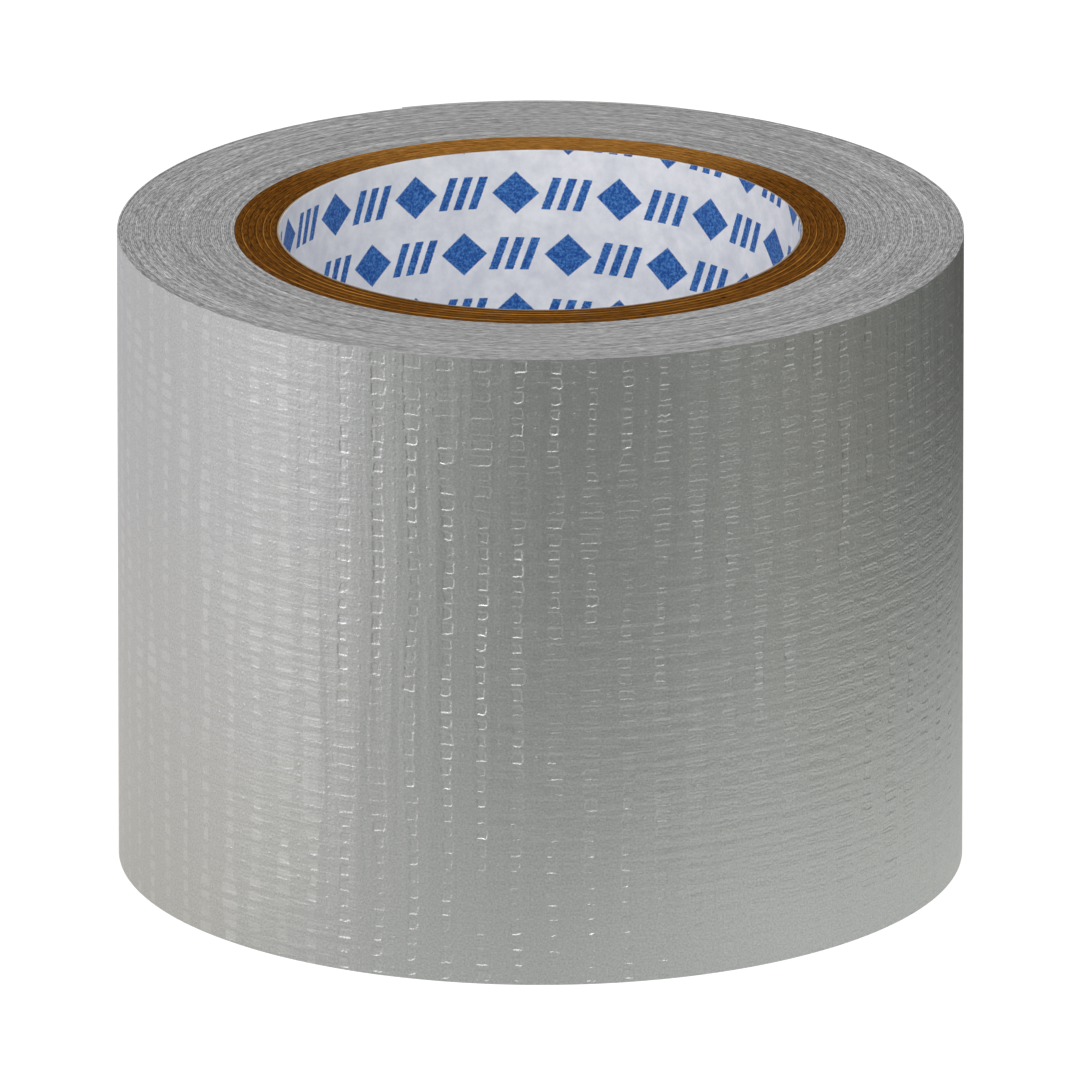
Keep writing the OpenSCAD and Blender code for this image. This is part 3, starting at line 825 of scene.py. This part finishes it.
# like yarns laid side by side in the flat, then bent round the roll
yarn_width = 0.5 * MM
yarn_tree, given = new_tree(
    "yarns", ("Along", (1.0, 0.0, 0.0)), ("Length", 0.04), ("First", (0.0, 0.0, 0.0)),
    ("Step", (0.0, 0.0, 0.0024)), ("Count", 10), ("Width", yarn_width), ("Thickness", yarn_wall),
    ("Pieces", 70), ("Wander", 0.1 * MM), ("Start angle", 0.0), ("Radius", 0.06), ("Lift", 0.0))
core_line = add(yarn_tree, "GeometryNodeCurvePrimitiveLine", {
    "End": add(yarn_tree, "ShaderNodeVectorMath", {0: given["Along"], "Scale": given["Length"]},
               operation="SCALE")})
core_line = add(yarn_tree, "GeometryNodeResampleCurve", {"Curve": core_line, "Count": given["Pieces"]})
round_section = add(yarn_tree, "GeometryNodeCurvePrimitiveCircle", {
    "Resolution": 8, "Radius": add(yarn_tree, "ShaderNodeMath", {0: given["Width"], 1: 0.5},
                                   operation="MULTIPLY")})
yarn = add(yarn_tree, "GeometryNodeCurveToMesh", {
    "Curve": core_line, "Profile Curve": round_section, "Fill Caps": True})
places = add(yarn_tree, "GeometryNodeMeshLine", {
    "Count": given["Count"], "Start Location": given["First"], "Offset": given["Step"]})
yarns = add(yarn_tree, "GeometryNodeInstanceOnPoints", {"Points": places, "Instance": yarn})
yarns = add(yarn_tree, "GeometryNodeRealizeInstances", {0: yarns})
at = add(yarn_tree, "GeometryNodeInputPosition")
sway = add(yarn_tree, "ShaderNodeTexNoise", {"Vector": at, "Scale": 260.0, "Detail": 1.0})
sway = add(yarn_tree, "ShaderNodeVectorMath", {
    0: add(yarn_tree, "ShaderNodeVectorMath", {0: sway.outputs["Color"], 1: (0.5, 0.5, 0.5)},
           operation="SUBTRACT"), "Scale": given["Wander"]}, operation="SCALE")
sway = add(yarn_tree, "ShaderNodeVectorMath", {
    0: sway, 1: add(yarn_tree, "ShaderNodeVectorMath", {0: given["Step"]}, operation="NORMALIZE")},
    operation="MULTIPLY")
yarns = add(yarn_tree, "GeometryNodeSetPosition", {"Geometry": yarns, "Offset": sway})
flat = add(yarn_tree, "ShaderNodeSeparateXYZ", {0: at})
yarns = add(yarn_tree, "GeometryNodeStoreNamedAttribute", {
    "Geometry": yarns, "Name": "strip",
    "Value": add(yarn_tree, "ShaderNodeCombineXYZ", {"X": flat.outputs["X"], "Y": flat.outputs["Z"]})},
    data_type="FLOAT2", domain="CORNER")
angle = add(yarn_tree, "ShaderNodeMath", {
    0: add(yarn_tree, "ShaderNodeMath", {0: flat.outputs["X"], 1: given["Radius"]}, operation="DIVIDE"),
    1: given["Start angle"]}, operation="ADD")
risen = add(yarn_tree, "ShaderNodeMapRange", {"Value": flat.outputs["X"], "From Max": rise_length},
            interpolation_type="SMOOTHSTEP")
radius = add(yarn_tree, "ShaderNodeMath", {
    0: flat.outputs["Y"],
    1: add(yarn_tree, "ShaderNodeMath", {0: given["Thickness"], 1: given["Width"]}, operation="DIVIDE"),
    2: given["Radius"]}, operation="MULTIPLY_ADD")
radius = add(yarn_tree, "ShaderNodeMath", {0: risen, 1: given["Lift"], 2: radius}, operation="MULTIPLY_ADD")
bent = add(yarn_tree, "GeometryNodeSetPosition", {
    "Geometry": yarns, "Position": placed(yarn_tree, radius, angle, flat.outputs["Z"])})
finish_tree(yarn_tree, bent, cloth)

sheet_sizes = {"Turns": end_turns, "Start angle": fold_angle, "Steps per turn": 900, "Rows": 47,
               "Lift": end_lift, "Ragged tip": 0.5 * MM}
weft_radius = end_radius + glue_wall + yarn_wall / 2
warp_count = int((roll_height - yarn_width) / (warp_spacing * MM)) + 1
weft_count = int((end_length - yarn_width) / (weft_spacing * MM)) + 1
warp_first = (roll_height - (warp_count - 1) * warp_spacing * MM) / 2
weft_first = (end_length - (weft_count - 1) * weft_spacing * MM) / 2
peeled = [
    grow("free_end_top_film", strip_tree, "tape", None, "free_end_film", **sheet_sizes, **{
        "Start radius": end_radius + tape_wall - film_wall, "Thickness": film_wall,
        "Waviness": 0.06 * MM}),
    grow("free_end_glue", glue_tree, "adhesive", None, "free_end_adhesive", **sheet_sizes, **{
        "Start radius": end_radius, "Thickness": glue_wall}),
    grow("free_end_warp", yarn_tree, "cloth", None, "free_end_warp_yarns", **{
        "Length": end_length, "First": (0.0, 0.0, warp_first), "Step": (0.0, 0.0, warp_spacing * MM),
        "Count": warp_count, "Start angle": fold_angle, "Radius": weft_radius + yarn_wall,
        "Lift": end_lift}),
    grow("free_end_weft", yarn_tree, "cloth", None, "free_end_weft_yarns", **{
        "Along": (0.0, 0.0, 1.0), "Length": roll_height, "First": (weft_first, 0.0, 0.0),
        "Step": (weft_spacing * MM, 0.0, 0.0), "Count": weft_count, "Pieces": 120,
        "Start angle": fold_angle, "Radius": weft_radius, "Lift": end_lift}),
]
for layer in peeled:
    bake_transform(layer)
